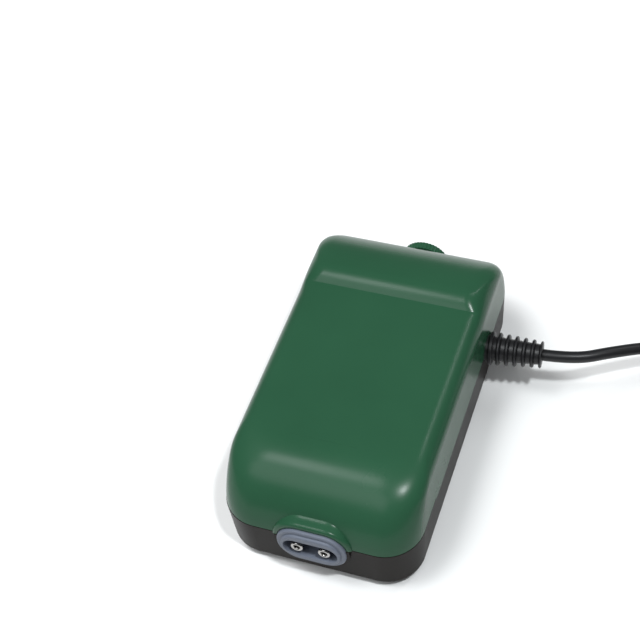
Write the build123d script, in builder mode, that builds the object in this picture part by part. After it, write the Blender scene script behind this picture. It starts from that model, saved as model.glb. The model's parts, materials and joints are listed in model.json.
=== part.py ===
"""Aquarium air pump with two outlets: case, electromagnet, swing arms, diaphragms, knob and cord.

Sizes are in millimetres. The origin lies on the surface that the pump stands on, below the
middle of the case. The outlets face -Y, the control knob is at the rear (+Y), the cord leaves
the +X side and +Z is up.
"""
import os
from math import cos, pi, radians, sin, sqrt, tan

from build123d import *

# --- driving dimensions -------------------------------------------------------------------
case_width = 80.0
case_length = 150.0
foot_drop = 3.0                # the feet hold the base this far above the surface
foot_radius = 6.0
foot_recess = 0.8              # the feet are set this deep into the base
base_height = 20.5             # base, up to the parting line at the front
side_rim_step = 1.1            # the parting line lies this much lower along the sides and rear
side_step_y = -44.0            # where that step is
corner_radius = 15.5           # case corners seen from above
base_draft = 0.8               # how much narrower each side of the base is at its bottom
wall = 2.2
floor_thickness = 2.4
cover_height = 44.3            # flat top above the bottom of the base
head_height = 47.6             # raised rear head above the bottom of the base
cover_draft = 0.6              # how much narrower each side of the cover is below its rounding
top_edge_radius = 8.0
shoulder_radius = 28.0         # large rounding from the front face to the flat top
head_edge_radius = 10.0
head_roll_radius = 42.0        # large rounding from the head's top to the rear face
head_front_radius = 6.0        # rounding of the head's front, where it steps up from the flat top
head_corner_radius = 6.0       # the head's rear corners tighten to this towards its top
head_corner_height = 38.0      # above the bottom of the base, where they reach it
rim_gap = 0.25                 # groove between cover and base

bezel_width = 28.0
bezel_height = 19.4
bezel_z = foot_drop + 18.0
bezel_corner = 9.0
brow_width = 2.3                # the cover's arch over the bezel is this much wider all round
brow_depth = 0.8                # and stands this far out of the case's front
recess_width = 22.0
recess_height = 9.6
nozzle_spacing = 11.0
nozzle_radius = 2.1
nozzle_flare_radius = 2.8
nozzle_bore_radius = 1.2

knob_radius = 10.2
knob_thickness = 3.4
knob_z = foot_drop + 14.5
knurl_count = 44
shaft_radius = 3.0

cord_diameter = 5.0
cord_exit_y = 33.0
boot_tilt = 5.0                # the boot leans this many degrees towards the rear
boot_inner_x = 34.0            # the boot's inner flange starts here
boot_start_x = 40.75           # the boot's ribbed part starts here, outside the case
boot_length = 22.0

magnet_z = 22.0                # height of the electromagnet, arms and diaphragms
core_y = 30.0
arm_x = 25.0
arm_thickness = 3.0
arm_height = 12.0
pivot_y = 62.0
diaphragm_y = -8.0

running_clearance = 0.05
fit_clearance = 0.1

# --- levels and places worked out from them -----------------------------------------------
base_bottom = foot_drop
parting_z = foot_drop + base_height
side_parting_z = parting_z - side_rim_step
floor_z = base_bottom + floor_thickness
cover_top = foot_drop + cover_height
head_top = foot_drop + head_height
front_y = -case_length / 2
screw_places = [(sx * 31.5, sy * 47.0) for sx in (-1, 1) for sy in (-1, 1)]
foot_places = [(sx * 28.0, sy * 61.0) for sx in (-1, 1) for sy in (-1, 1)]
filter_place = (0, -42.0)
sides = (("left", -1), ("right", 1))


def front_plane(y):
    """Sketch plane that faces the front: local x is +X and local y is +Z."""
    return Plane(origin=(0, y, 0), x_dir=(1, 0, 0), z_dir=(0, -1, 0))


def side_plane(x, sign):
    """Sketch plane that faces outwards on one side: local x is +Y or -Y and local y is +Z."""
    return Plane(origin=(x * sign, 0, 0), x_dir=(0, sign, 0), z_dir=(sign, 0, 0))


def rounding(z, top, radius):
    """Setback at height z of a quarter round of this radius that ends level at top."""
    rise = max(0.0, z - (top - radius))
    return radius - sqrt(max(0.0, radius**2 - rise**2))


head_rim_setback = rounding(side_parting_z, head_top, head_roll_radius)
head_crown_y = case_length / 2 - head_roll_radius + head_rim_setback


def plan_section(z, inset, radius):
    """The case's outline at height z, moved in by an inset: a section of a loft."""
    with BuildSketch(Plane.XY.offset(z)) as section:
        RectangleRounded(case_width - 2 * inset, case_length - 2 * inset, radius)
    return section.sketch


def end_section(z, half_width, y_square, y_round, radius):
    """Rectangle at height z with square corners at y_square and rounded ones at y_round."""
    length = abs(y_round - y_square)
    with BuildSketch(Plane.XY.offset(z)) as section:
        with Locations((0, (y_square + y_round) / 2)):
            Rectangle(2 * half_width, length)
        rounded_end = section.vertices().group_by(Axis.Y)[0 if y_round < y_square else -1]
        fillet(rounded_end, radius=min(radius, 0.8 * length))
    return section.sketch


def wall_half_width(z, inset):
    """Half width between the cover's side walls at height z, with their draft."""
    share = min(1.0, (z - side_parting_z) / (cover_top - top_edge_radius - side_parting_z))
    return case_width / 2 - inset - cover_draft * share


def section_levels(bottom, top, edge, last_turn):
    """Heights of a loft's sections: some up the wall, then closer ones over the rounded edge."""
    wall_top = top - edge
    wall_steps = 6
    wall_levels = [bottom + (wall_top - bottom) * step / wall_steps for step in range(wall_steps)]
    edge_levels = [wall_top + edge * sin(radians(turn)) for turn in range(0, last_turn, 7)]
    return wall_levels + edge_levels


def main_sections(inset, bottom):
    """Sections of the cover's long flat part, from its rim up over its rounded top edges."""
    top = cover_top - inset
    edge = top_edge_radius - inset
    shoulder = shoulder_radius - inset
    rim_setback = rounding(side_parting_z, top, shoulder)
    sections = []
    for z in section_levels(bottom, top, edge, 92):
        y_front = front_y + inset + rounding(z, top, shoulder) - rim_setback
        half = wall_half_width(z, inset) - rounding(z, top, edge)
        radius = corner_radius - inset - 0.3 * (case_width / 2 - half)
        sections.append(end_section(z, half, head_crown_y + 4, y_front, radius))
    return sections


def head_sections(inset, bottom):
    """Sections of the cover's raised rear head, from its rim up to its crown."""
    crown = head_top - inset
    edge = head_edge_radius - inset
    front = head_front_radius - inset
    roll = head_roll_radius - inset
    rim_setback = rounding(side_parting_z, crown, roll)
    corner_top = base_bottom + head_corner_height
    sections = []
    for z in section_levels(bottom, crown, edge, 85):
        y_front = head_crown_y - front + rounding(z, crown, front)
        y_rear = case_length / 2 - inset - rounding(z, crown, roll) + rim_setback
        half = wall_half_width(z, inset) - rounding(z, crown, edge) + 0.05
        share = min(1.0, (z - side_parting_z) / (corner_top - side_parting_z))
        radius = corner_radius + (head_corner_radius - corner_radius) * share - inset
        sections.append(end_section(z, half, y_front, y_rear, radius))
    return sections


def cover_block(inset):
    """The cover's outer shape, or with an inset the space inside it."""
    bottom = side_parting_z if inset == 0 else side_parting_z - 1.0
    with BuildPart() as block:
        loft(main_sections(inset, bottom), ruled=True)
        loft(head_sections(inset, bottom), ruled=True)
    return block.part


def bezel_outline(grow, z_shift=0.0):
    """The bezel's oval outline on the current front sketch, grown by an offset."""
    with Locations((0, bezel_z + z_shift)):
        RectangleRounded(bezel_width + 2 * grow, bezel_height + 2 * grow, bezel_corner + grow)


def shared_openings():
    """Openings that the cover and the base share: bezel, cord boot and knob shaft."""
    with BuildPart() as openings:
        with BuildSketch(front_plane(front_y)):
            bezel_outline(fit_clearance)
        extrude(amount=10)
        with BuildSketch(front_plane(front_y + 10)):
            bezel_outline(-1.7)
        extrude(amount=11)
        with BuildSketch(side_plane(case_width / 2 - 6, 1)):
            with Locations((cord_exit_y, side_parting_z)):
                Circle(5.8)
        extrude(amount=8)
        with BuildSketch(front_plane(case_length / 2 + 2)):
            with Locations((0, knob_z)):
                Circle(shaft_radius + 0.6)
        extrude(amount=8)
    return openings.part


def make_cover():
    """Green upper shell with the arch over the outlets and four screw posts."""
    outside = cover_block(0)
    with BuildPart() as hollow:
        add(cover_block(wall))
        with BuildSketch(Plane.XY.offset(side_parting_z - 2)):
            with Locations(*screw_places):
                Circle(3.0)
        extrude(amount=case_length, mode=Mode.SUBTRACT)
    inside = hollow.part
    openings = shared_openings()
    with BuildPart() as cover:
        add(outside)
        with BuildSketch(front_plane(front_y + 5)):
            bezel_outline(brow_width, 0.3)
        extrude(amount=5 + brow_depth)
        add(inside, mode=Mode.SUBTRACT)
        with BuildSketch(Plane.XY.offset(side_parting_z - 2)):
            with Locations(*screw_places):
                Circle(1.35)
        extrude(amount=16, mode=Mode.SUBTRACT)
        with Locations((0, 0, side_parting_z + rim_gap - 10)):
            Box(100, 200, 20, mode=Mode.SUBTRACT)
        with Locations((0, side_step_y - 50, parting_z + rim_gap - 10)):
            Box(100, 100, 20, mode=Mode.SUBTRACT)
        add(openings, mode=Mode.SUBTRACT)
    return cover.part


def make_base():
    """Dark lower tray with its lip, screw bosses, posts and the filter well."""
    inner_radius = corner_radius - wall
    outer_sections = [
        plan_section(base_bottom, base_draft, corner_radius - 0.5),
        plan_section(parting_z, 0, corner_radius)]
    inner_sections = [
        plan_section(floor_z, base_draft + wall, inner_radius),
        plan_section(parting_z + 1, wall, inner_radius)]
    lip = base_lip()
    bosses = base_bosses()
    holes = base_holes()
    openings = shared_openings()
    with BuildPart() as base:
        loft(outer_sections, ruled=True)
        fillet(base.faces().sort_by(Axis.Z)[0].edges(), radius=1.4)
        with BuildSketch(front_plane(front_y + 4)):
            bezel_outline(1.2)
        extrude(amount=5.0)
        loft(inner_sections, ruled=True, mode=Mode.SUBTRACT)
        with Locations((0, side_step_y + 100, side_parting_z + 10)):
            Box(100, 200, 20, mode=Mode.SUBTRACT)
        with Locations((0, side_step_y - 100, parting_z + 10)):
            Box(100, 200, 20, mode=Mode.SUBTRACT)
        add(lip)
        add(bosses)
        add(holes, mode=Mode.SUBTRACT)
        add(openings, mode=Mode.SUBTRACT)
    return base.part


def base_lip():
    """Lip that stands up inside the cover's rim, leaning in a little, on a ledge of the wall."""
    low = side_parting_z - 4
    high = side_parting_z + 2.2
    outer_inset = wall + 0.35
    inner_inset = outer_inset + 1.1
    lean = 0.35
    with BuildPart() as lip:
        for inset, mode in ((outer_inset, Mode.ADD), (inner_inset, Mode.SUBTRACT)):
            radius = corner_radius - inset
            loft([plan_section(low, inset, radius), plan_section(high, inset + lean, radius)], mode=mode)
        with BuildSketch(Plane.XY.offset(low)):
            for inset, mode in ((wall - 0.3, Mode.ADD), (inner_inset, Mode.SUBTRACT)):
                RectangleRounded(
                    case_width - 2 * inset, case_length - 2 * inset, corner_radius - inset, mode=mode)
        extrude(amount=3.0)
    return lip.part


def base_bosses():
    """What stands up inside the base: screw bosses, magnet posts, pivot bosses, board guides."""
    low = floor_z - 0.2
    with BuildPart() as bosses:
        with BuildSketch(Plane.XY.offset(low)):
            with Locations(*screw_places):
                Circle(4.8)
            with Locations(filter_place):
                Circle(16.0)
        extrude(amount=base_bottom + 8.4 - low)
        with BuildSketch(Plane.XY.offset(low)):
            with Locations(*screw_places):
                Circle(3.0)
        extrude(amount=side_parting_z - 0.1 - low)
        with BuildSketch(Plane.XY.offset(low)):
            with Locations((0, core_y - 19), (0, core_y + 19)):
                Circle(3.4)
        extrude(amount=9 - low)
        with BuildSketch(Plane.XY.offset(low)):
            with Locations((-16.3, core_y), (16.3, core_y)):
                Rectangle(3.6, 16)
        extrude(amount=magnet_z - 6 - low)
        with BuildSketch(Plane.XY.offset(low)):
            with Locations((-arm_x, pivot_y), (arm_x, pivot_y)):
                Circle(4.5)
        extrude(amount=magnet_z - arm_height / 2 - 0.3 - low)
        with BuildSketch(Plane.XY.offset(low)):
            with Locations((-17, 60), (17, 60)):
                Rectangle(4, 5)
        extrude(amount=15)
    return bosses.part


def base_holes():
    """What is cut from the base: screw, foot, pin and air holes, board slots and filter well."""
    with BuildPart() as holes:
        with BuildSketch(Plane.XY.offset(base_bottom - 1)):
            with Locations(*screw_places):
                Circle(3.4)
        extrude(amount=7)
        with BuildSketch(Plane.XY.offset(base_bottom)):
            with Locations(*screw_places):
                Circle(1.5)
        extrude(amount=30)
        with BuildSketch(Plane.XY.offset(base_bottom - 1)):
            with Locations(*foot_places):
                Circle(foot_radius + fit_clearance)
        extrude(amount=1 + foot_recess)
        with BuildSketch(Plane.XY.offset(6.5)):
            with Locations((0, core_y - 19), (0, core_y + 19)):
                Circle(1.5)
        extrude(amount=6)
        with BuildSketch(Plane.XY.offset(9)):
            with Locations((-arm_x, pivot_y), (arm_x, pivot_y)):
                Circle(1.5)
        extrude(amount=12)
        with Locations((0, 60, 20)):
            Box(31.4, 1.9, 22.2)
        with BuildSketch(Plane.XY.offset(base_bottom - 1)):
            with Locations(filter_place):
                Circle(14.1)
        extrude(amount=7)
        with BuildSketch(Plane.XY.offset(base_bottom)):
            with Locations(filter_place):
                Circle(1.6)
                with PolarLocations(8.5, 6):
                    Circle(1.6)
        extrude(amount=10)
    return holes.part


def make_bezel():
    """Soft oval bezel: flange, neck in the case wall, raised lip and recess for the nozzles."""
    with BuildPart() as bezel:
        with BuildSketch(front_plane(front_y)):
            bezel_outline(0)
        extrude(amount=2.0)
        fillet(bezel.faces().sort_by(Axis.Y)[0].edges(), radius=0.8)
        with BuildSketch(front_plane(front_y + 5)):
            bezel_outline(-1.9)
        extrude(amount=5.2)
        with BuildSketch(front_plane(front_y + 6.4)):
            bezel_outline(-0.4)
        extrude(amount=1.8)
        with BuildSketch(front_plane(front_y + 8)):
            bezel_outline(-1.9)
        extrude(amount=1.8)
        with BuildSketch(front_plane(front_y - 1.4)):
            bezel_outline(-1.9)
        extrude(amount=1.7)
        fillet(bezel.faces().sort_by(Axis.Y)[0].edges(), radius=0.9)
        with BuildSketch(front_plane(front_y - 5)):
            with Locations((0, bezel_z)):
                SlotOverall(recess_width, recess_height)
        extrude(amount=-10, mode=Mode.SUBTRACT)
        with BuildSketch(front_plane(front_y - 5)):
            with Locations((-nozzle_spacing / 2, bezel_z), (nozzle_spacing / 2, bezel_z)):
                Circle(nozzle_radius + running_clearance)
        extrude(amount=-20, mode=Mode.SUBTRACT)
    return bezel.part


def make_nozzle(sign):
    """Chromed outlet nozzle: flared front end, straight shank and a stub for the inner tube."""
    tip = front_y - 2.9
    with BuildPart() as nozzle:
        with BuildSketch(Plane.YZ.offset(sign * nozzle_spacing / 2)):
            with BuildLine():
                Polyline(
                    (tip + 0.4, bezel_z + nozzle_bore_radius),
                    (tip, bezel_z + nozzle_bore_radius + 0.4),
                    (tip, bezel_z + nozzle_flare_radius - 0.3),
                    (tip + 0.3, bezel_z + nozzle_flare_radius),
                    (tip + 1.9, bezel_z + nozzle_flare_radius),
                    (tip + 2.6, bezel_z + nozzle_radius),
                    (front_y + 15, bezel_z + nozzle_radius),
                    (front_y + 15, bezel_z + nozzle_bore_radius),
                    close=True)
            make_face()
        revolve(axis=Axis((0, 0, bezel_z), (0, 1, 0)).located(Location((sign * nozzle_spacing / 2, 0, 0))))
    return nozzle.part


def make_knob():
    """Knurled knob on the rear face, with a blind hole for its shaft."""
    knob_y = case_length / 2 + 0.4
    with BuildPart() as knob:
        with BuildSketch(front_plane(knob_y)):
            with Locations((0, knob_z)):
                Circle(knob_radius)
                with PolarLocations(knob_radius + 0.15, knurl_count):
                    Circle(0.45, mode=Mode.SUBTRACT)
        extrude(amount=-knob_thickness)
        with BuildSketch(front_plane(knob_y + knob_thickness + 1)):
            with Locations((0, knob_z)):
                Circle(knob_radius - 1.6)
                Circle(knob_radius - 3.4, mode=Mode.SUBTRACT)
        extrude(amount=1.6, mode=Mode.SUBTRACT)
        with BuildSketch(front_plane(knob_y - 1)):
            with Locations((0, knob_z)):
                Circle(shaft_radius)
        extrude(amount=-3.6, mode=Mode.SUBTRACT)
    return knob.part


def make_feet():
    """Four round rubber pads, each set into a shallow recess of the base."""
    with BuildPart() as feet:
        with Locations(*[(x, y, 0) for x, y in foot_places]):
            Cylinder(foot_radius, foot_drop + foot_recess, align=(Align.CENTER, Align.CENTER, Align.MIN))
        chamfer(feet.faces().group_by(Axis.Z)[0].edges(), length=0.6)
    return feet.part


def make_screws(places, head_z, head_radius, shank_radius, shank_end, cross_depth=1.2):
    """A group of cross-head screws with their heads' bearing faces at head_z."""
    up = 1 if shank_end > head_z else -1
    with BuildPart() as screws:
        for x, y in places:
            with Locations((x, y, head_z - up * 1.1)):
                Cylinder(head_radius, 2.2)
                with Locations((0, 0, -up * (1.1 - cross_depth / 2))):
                    Box(head_radius * 1.2, 0.9, cross_depth, mode=Mode.SUBTRACT)
                    Box(0.9, head_radius * 1.2, cross_depth, mode=Mode.SUBTRACT)
            with Locations((x, y, (head_z + shank_end) / 2)):
                Cylinder(shank_radius, abs(shank_end - head_z))
    return screws.part


def make_filter_felt():
    """Felt disc that cleans the air drawn in through the bottom."""
    with BuildPart() as felt:
        with Locations((*filter_place, base_bottom + 1.9)):
            Cylinder(13.8, 3.8, align=(Align.CENTER, Align.CENTER, Align.MIN))
    return felt.part


def make_filter_cover():
    """Slotted round cover that holds the felt in its well."""
    with BuildPart() as grille:
        with BuildSketch(Plane.XY.offset(base_bottom)):
            with Locations(filter_place):
                Circle(14.0)
                with GridLocations(0, 3.6, 1, 5):
                    SlotOverall(17, 1.6, mode=Mode.SUBTRACT)
        extrude(amount=1.8)
    return grille.part


def make_bobbin():
    """Moulded bobbin: two square flanges joined by the tube that the core runs through."""
    with BuildPart() as bobbin:
        for x in (-12.25, 12.25):
            with Locations((x, core_y, magnet_z)):
                Box(1.5, 26, 26)
        fillet(bobbin.edges().filter_by(Axis.X), radius=2)
        with Locations((0, core_y, magnet_z)):
            Box(24, 14.8, 14.8)
            Box(40, 12.3, 12.3, mode=Mode.SUBTRACT)
    return bobbin.part


def make_winding():
    """Copper winding between the bobbin's flanges."""
    with BuildPart() as winding:
        with Locations((0, core_y, magnet_z)):
            Box(22.8, 23.6, 23.6)
            fillet(winding.edges().filter_by(Axis.X), radius=4.5)
            Box(24, 15.0, 15.0, mode=Mode.SUBTRACT)
    return winding.part


def make_core():
    """Laminated core: a bar through the bobbin with a pole plate on each end."""
    with BuildPart() as core:
        with Locations((0, core_y, magnet_z)):
            Box(36.6, 12, 12)
        with Locations((-16.3, core_y, magnet_z), (16.3, core_y, magnet_z)):
            Box(4, 24, 12)
        chamfer(core.edges().filter_by(Axis.Z), length=0.5)
    return core.part


def make_bracket():
    """Steel strap over the coil, with a screwed foot at each end."""
    thickness = 1.5
    low = 9.0
    top = magnet_z + 14.2
    with BuildPart() as bracket:
        with BuildSketch(Plane.YZ.offset(-5)):
            with BuildLine():
                Polyline(
                    (core_y - 23, low), (core_y - 14, low), (core_y - 14, top - thickness),
                    (core_y + 14, top - thickness), (core_y + 14, low), (core_y + 23, low),
                    (core_y + 23, low + thickness), (core_y + 15.5, low + thickness),
                    (core_y + 15.5, top), (core_y - 15.5, top), (core_y - 15.5, low + thickness),
                    (core_y - 23, low + thickness), close=True)
            make_face()
        extrude(amount=10)
        fillet(bracket.edges().filter_by(Axis.X).group_by(Axis.Z)[-1], radius=1.2)
        with Locations((0, core_y - 19, low), (0, core_y + 19, low)):
            Cylinder(1.5, 8, mode=Mode.SUBTRACT)
    return bracket.part


def make_arm(sign):
    """Swing arm: a flat lever with a pivot eye at the rear and a stud hole at the front."""
    front_end = diaphragm_y - 7
    with BuildPart() as arm:
        with Locations((sign * arm_x, (front_end + pivot_y) / 2, magnet_z)):
            Box(arm_thickness, pivot_y - front_end, arm_height)
        fillet(arm.edges().filter_by(Axis.X).group_by(Axis.Y)[0], radius=4)
        with Locations((sign * arm_x, pivot_y, magnet_z)):
            Cylinder(4.0, arm_height)
            Cylinder(1.5 + running_clearance, 40, mode=Mode.SUBTRACT)
        with BuildSketch(side_plane(arm_x + 8, sign)):
            with Locations((sign * diaphragm_y, magnet_z)):
                Circle(1.55)
        extrude(amount=-16, mode=Mode.SUBTRACT)
    return arm.part


def make_arm_magnet(sign):
    """Block magnet glued to the inner face of a swing arm, opposite a pole plate."""
    outer = arm_x - arm_thickness / 2
    with BuildPart() as block:
        with Locations((sign * (outer - 1.55), core_y, magnet_z)):
            Box(3.1, 14, 10)
        chamfer(block.edges(), length=0.4)
    return block.part


def make_pivot_pins():
    """Two headed steel pins that stand in the base and carry the swing arms."""
    pin_low = 9.0
    head_z = magnet_z + arm_height / 2 + 0.4
    with BuildPart() as pins:
        for x in (-arm_x, arm_x):
            with Locations((x, pivot_y, pin_low)):
                Cylinder(1.5, head_z - pin_low, align=(Align.CENTER, Align.CENTER, Align.MIN))
            with Locations((x, pivot_y, head_z)):
                Cylinder(2.7, 1.2, align=(Align.CENTER, Align.CENTER, Align.MIN))
    return pins.part


def revolve_about_pump_axis(sign, points):
    """Revolve (x, radius) points about the axis that a diaphragm and its stud share."""
    with BuildPart() as turned:
        with BuildSketch(Plane.XY.offset(magnet_z)):
            with BuildLine():
                Polyline(*[(sign * x, diaphragm_y + r) for x, r in points], close=True)
            make_face()
        revolve(axis=Axis((0, diaphragm_y, magnet_z), (1, 0, 0)))
    return turned.part


def make_diaphragm(sign):
    """Rubber diaphragm: thick rim, thin sloping web and a stiff centre."""
    return revolve_about_pump_axis(sign, [
        (14.2, 13.2), (16.2, 13.2), (16.2, 10.2), (20.2, 5.2), (20.2, 0), (18.8, 0), (18.8, 4.7),
        (15.2, 9.4), (14.2, 9.4)])


def make_diaphragm_ring(sign):
    """Ring that clamps the diaphragm's rim to its chamber."""
    return revolve_about_pump_axis(sign, [(16.2, 13.2), (18.0, 13.2), (18.0, 11.2), (16.2, 10.6)])


def make_stud(sign):
    """Stud from the diaphragm's centre through the arm, with its washer and nut."""
    inner_face = arm_x - arm_thickness / 2
    outer_face = arm_x + arm_thickness / 2
    return revolve_about_pump_axis(sign, [
        (20.2, 0), (20.2, 5), (21.3, 5), (21.6, 3), (inner_face, 3), (inner_face, 1.5),
        (outer_face, 1.5), (outer_face, 3), (outer_face + 2, 3), (outer_face + 2, 1.5),
        (outer_face + 2.8, 1.5), (outer_face + 2.8, 0)])


def make_chamber(sign):
    """Valve chamber: pump cavity, valve pocket, inlet passage and outlet stub."""
    inner_x = 3.0
    face_x = 14.2
    mid_x = (inner_x + face_x) / 2
    with BuildPart() as chamber:
        with Locations((sign * mid_x, diaphragm_y, (floor_z + magnet_z + 14) / 2)):
            Box(face_x - inner_x, 28, magnet_z + 14 - floor_z)
        fillet(chamber.edges().filter_by(Axis.X), radius=3)
        with BuildSketch(side_plane(face_x, sign)):
            with Locations((sign * diaphragm_y, magnet_z)):
                Circle(9.4)
        extrude(amount=-4, mode=Mode.SUBTRACT)
        with BuildSketch(side_plane(inner_x, sign)):
            with Locations((sign * (diaphragm_y - 5), magnet_z + 4)):
                Circle(3.8)
        extrude(amount=5, mode=Mode.SUBTRACT)
        with BuildSketch(side_plane(inner_x, sign)):
            with Locations((sign * (diaphragm_y - 5), magnet_z + 4)):
                Circle(1.2)
        extrude(amount=9, mode=Mode.SUBTRACT)
        with BuildSketch(side_plane(mid_x - 1, sign)):
            with Locations((sign * (diaphragm_y + 4), magnet_z - 4)):
                Circle(1.2)
        extrude(amount=8, mode=Mode.SUBTRACT)
        with BuildSketch(front_plane(diaphragm_y - 14)):
            with Locations((sign * mid_x, magnet_z + 4)):
                Circle(2.2)
        extrude(amount=8)
        with BuildSketch(front_plane(diaphragm_y - 30)):
            with Locations((sign * mid_x, magnet_z + 4)):
                Circle(1.2)
        extrude(amount=-22, mode=Mode.SUBTRACT)
        with BuildSketch(front_plane(diaphragm_y + 20)):
            with Locations((sign * (mid_x - 0.2), magnet_z - 4)):
                Circle(1.2)
        extrude(amount=16, mode=Mode.SUBTRACT)
    return chamber.part


def make_flaps(sign):
    """Two rubber valve flaps: inlet on the cavity floor, outlet in the valve pocket."""
    with BuildPart() as flaps:
        with BuildSketch(side_plane(10.25, sign)):
            with Locations((sign * (diaphragm_y + 4), magnet_z - 4)):
                Circle(2.9)
        extrude(amount=0.6)
        with BuildSketch(side_plane(7.35, sign)):
            with Locations((sign * (diaphragm_y - 5), magnet_z + 4)):
                Circle(3.2)
        extrude(amount=0.6)
    return flaps.part


def make_valve_cap(sign):
    """Cap that closes a chamber's valve pocket."""
    with BuildPart() as cap:
        with BuildSketch(side_plane(1.8, sign)):
            with Locations((sign * (diaphragm_y - 5), magnet_z + 4)):
                Circle(4.6)
        extrude(amount=1.2)
        with BuildSketch(side_plane(3.0, sign)):
            with Locations((sign * (diaphragm_y - 5), magnet_z + 4)):
                Circle(3.7)
        extrude(amount=1.5)
    return cap.part


def make_air_tube(sign):
    """Silicone tube from a chamber's outlet stub to the rear of its nozzle."""
    stub_x = sign * 8.6
    with BuildPart() as tube:
        with BuildLine() as path:
            FilletPolyline(
                (stub_x, diaphragm_y - 14.4, magnet_z + 4), (stub_x, diaphragm_y - 25, magnet_z + 4),
                (sign * nozzle_spacing / 2, -51, bezel_z),
                (sign * nozzle_spacing / 2, front_y + 8.4, bezel_z), radius=[14, 14])
        with BuildSketch(front_plane(diaphragm_y - 14.4)):
            with Locations((stub_x, magnet_z + 4)):
                Circle(3.1)
                Circle(2.25, mode=Mode.SUBTRACT)
        sweep(path=path.line)
    return tube.part


def make_potentiometer():
    """Round potentiometer behind the rear wall, with its bushing."""
    front = 61.0
    rear = 68.4
    with BuildPart() as body:
        with BuildSketch(front_plane(front)):
            with Locations((0, knob_z)):
                Circle(8)
        extrude(amount=front - rear)
        fillet(body.faces().sort_by(Axis.Y)[-1].edges(), radius=0.8)
        with BuildSketch(front_plane(rear)):
            with Locations((0, knob_z)):
                Circle(4.4)
        extrude(amount=-2.4)
        with BuildSketch(front_plane(62.5)):
            with Locations((0, knob_z)):
                Circle(shaft_radius + running_clearance)
        extrude(amount=-20, mode=Mode.SUBTRACT)
    return body.part


def make_knob_shaft():
    """Shaft from the potentiometer through the rear wall into the knob."""
    with BuildPart() as shaft:
        with BuildSketch(front_plane(62.8)):
            with Locations((0, knob_z)):
                Circle(shaft_radius)
        extrude(amount=-(case_length / 2 + 0.4 + 2.6 - 62.8))
    return shaft.part


def make_board():
    """Upright circuit board held in two slots of the base."""
    with BuildPart() as board:
        with Locations((0, 60, 22.5)):
            Box(30.6, 1.5, 27)
        with BuildSketch(front_plane(50)):
            with Locations((-11, 33), (11, 33)):
                Circle(1.2)
        extrude(amount=-20, mode=Mode.SUBTRACT)
    return board.part


def make_board_parts():
    """Components on the board's front: capacitor, triac with its tab, resistor and fuse."""
    board_face = 59.25
    with BuildPart() as parts:
        with Locations((-7.5, board_face - 3, 22)):
            Box(13, 6, 10)
        with Locations((7.5, board_face - 2.3, 20)):
            Box(10, 4.6, 9)
        with Locations((7.5, board_face - 0.7, 27.2)):
            Box(10, 1.4, 5.4)
        with Locations((-7.5, board_face - 1.6, 31.5)):
            Cylinder(1.5, 9, rotation=(0, 90, 0))
        with Locations((0, board_face - 1.5, 12)):
            Cylinder(1.4, 7, rotation=(0, 90, 0))
    return parts.part


def make_wire(points, radius):
    """One insulated wire along a rounded path."""
    with BuildPart() as wire:
        with BuildLine() as path:
            FilletPolyline(*points, radius=radius)
        with BuildSketch(Plane(origin=path.line @ 0, z_dir=path.line % 0)):
            Circle(0.9)
        sweep(path=path.line)
    return wire.part


def make_lead_wires():
    """Wires from the cord to the board, below the arm, and from the coil to the board."""
    low = 8.5
    with BuildPart() as wires:
        for shift in (-1.3, 1.3):
            y = cord_exit_y + shift
            down_x = 30.8 + shift
            end_x = 12 + shift
            add(make_wire([
                (boot_inner_x, y, side_parting_z), (down_x, y, side_parting_z), (down_x, y, low),
                (21 + shift, 43, low), (end_x, 53, low), (end_x, 55.5, 13), (end_x, 59.2, 13)], 1.2))
        for x in (-9, 9):
            add(make_wire([(x, core_y + 13.2, 33), (x, core_y + 20, 34.8), (x, 59.2, 34.8)], 4))
    return wires.part


def make_strain_relief():
    """Ribbed tapered boot with a neck and an inner flange that the case halves grip."""
    rib_count = 6
    rib_pitch = 3.5
    with BuildPart() as boot:
        with BuildSketch(side_plane(boot_inner_x, 1)):
            with Locations((cord_exit_y, side_parting_z)):
                Circle(7.2)
        extrude(amount=1.9)
        with BuildSketch(side_plane(boot_inner_x + 1.9, 1)):
            with Locations((cord_exit_y, side_parting_z)):
                Circle(5.5)
        extrude(amount=boot_start_x - boot_inner_x - 1.9 + 0.3)
        tilted = Plane(
            origin=(boot_start_x, cord_exit_y, side_parting_z), x_dir=(0, 0, 1),
            z_dir=(cos(radians(boot_tilt)), sin(radians(boot_tilt)), 0))
        with BuildSketch(tilted):
            Circle(7.0)
        extrude(amount=1.8)
        with BuildSketch(tilted):
            Circle(5.2)
        with BuildSketch(tilted.offset(boot_length)):
            Circle(4.2)
        loft()
        for number in range(rib_count):
            along = 3.3 + rib_pitch * number
            with BuildSketch(tilted.offset(along)):
                Circle(6.9 - 0.26 * number)
            extrude(amount=1.5 if number < rib_count - 1 else 1.2)
    return boot.part


# --- cord ---------------------------------------------------------------------------------
boot_direction = (cos(radians(boot_tilt)), sin(radians(boot_tilt)))


def along_boot(distance):
    """Point on the boot's axis, this far from where the boot starts."""
    x = boot_start_x + distance * boot_direction[0]
    y = cord_exit_y + distance * boot_direction[1]
    return (x, y, side_parting_z)


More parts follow.
